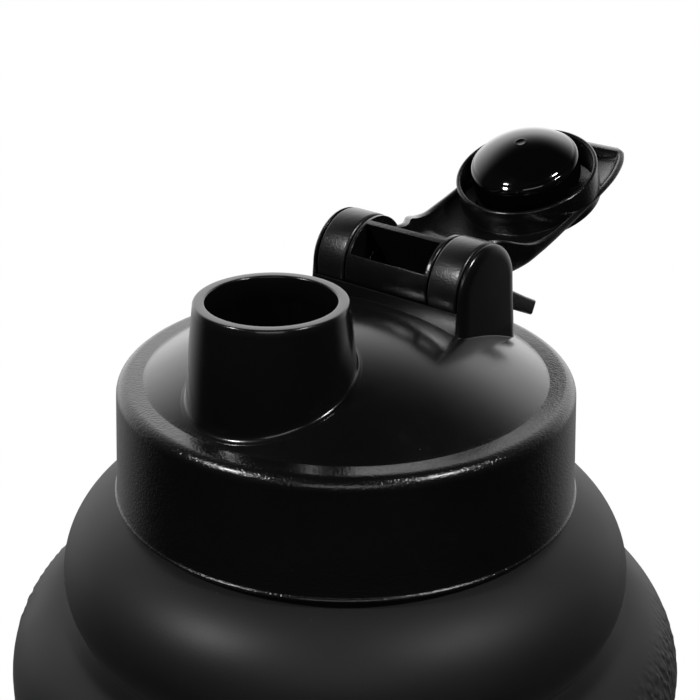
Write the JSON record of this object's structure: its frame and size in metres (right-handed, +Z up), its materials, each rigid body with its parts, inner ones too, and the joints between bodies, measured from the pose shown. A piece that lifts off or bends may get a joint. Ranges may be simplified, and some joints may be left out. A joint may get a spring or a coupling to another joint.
{
  "type": "protein shaker bottle",
  "caption": "Large shaker bottle with a screw lid, an offset drinking spout, and a flip cap that shares its hinge with a finger loop.",
  "frame": {"origin": "middle of the flat pad in the base, level with the foot ring that the bottle stands on", "axes": "+Z up along the bottle's axis, -Y towards the drinking spout, +X along the cap's hinge"},
  "size_m": [0.145, 0.1657, 0.2677],
  "materials": {
    "soft_touch_body": "soft-touch black with pebbled grips",
    "moulded_lid": "fine-grained black moulding, satin to gloss",
    "seal": "matt silicone",
    "grid": "satin black moulding",
    "moulded_cap": "smooth black moulding",
    "glossy_plug": "high-gloss black",
    "grained_loop": "leather-grained black moulding"
  },
  "bodies": {
    "bottle": {"bottle_body": "soft_touch_body"},
    "lid_seal": {"lid_gasket": "seal"},
    "lid": {"lid_shell": "moulded_lid", "mixing_grid": "grid"},
    "flip_cap": {"flip_cap": "moulded_cap", "spout_plug": "glossy_plug"},
    "carry_loop": {"carry_loop": "grained_loop"}
  },
  "joints": [
    {"name": "lid_lift", "type": "slide", "parent": "bottle", "child": "lid_seal", "axis": [0, 0, 1], "range_m": [0, 0.0092]},
    {"name": "lid_turn", "type": "hinge", "parent": "lid_seal", "child": "lid", "pos_m": [0, 0, 0.2], "axis": [0, 0, 1], "range_deg": [0, 540]},
    {"name": "cap_hinge", "type": "hinge", "parent": "lid", "child": "flip_cap", "pos_m": [0, 0.0222, 0.2476], "axis": [1, 0, 0], "range_deg": [0, 158]},
    {"name": "loop_hinge", "type": "hinge", "parent": "lid", "child": "carry_loop", "pos_m": [0, 0.0222, 0.2476], "axis": [1, 0, 0], "range_deg": [0, 118]}
  ],
  "couplings": [
    {"joint": "lid_lift", "follows": "lid_turn", "m_per_rad": 0.00095493},
    {"joint": "loop_hinge", "follows": "cap_hinge", "ratio": 0.74}
  ]
}
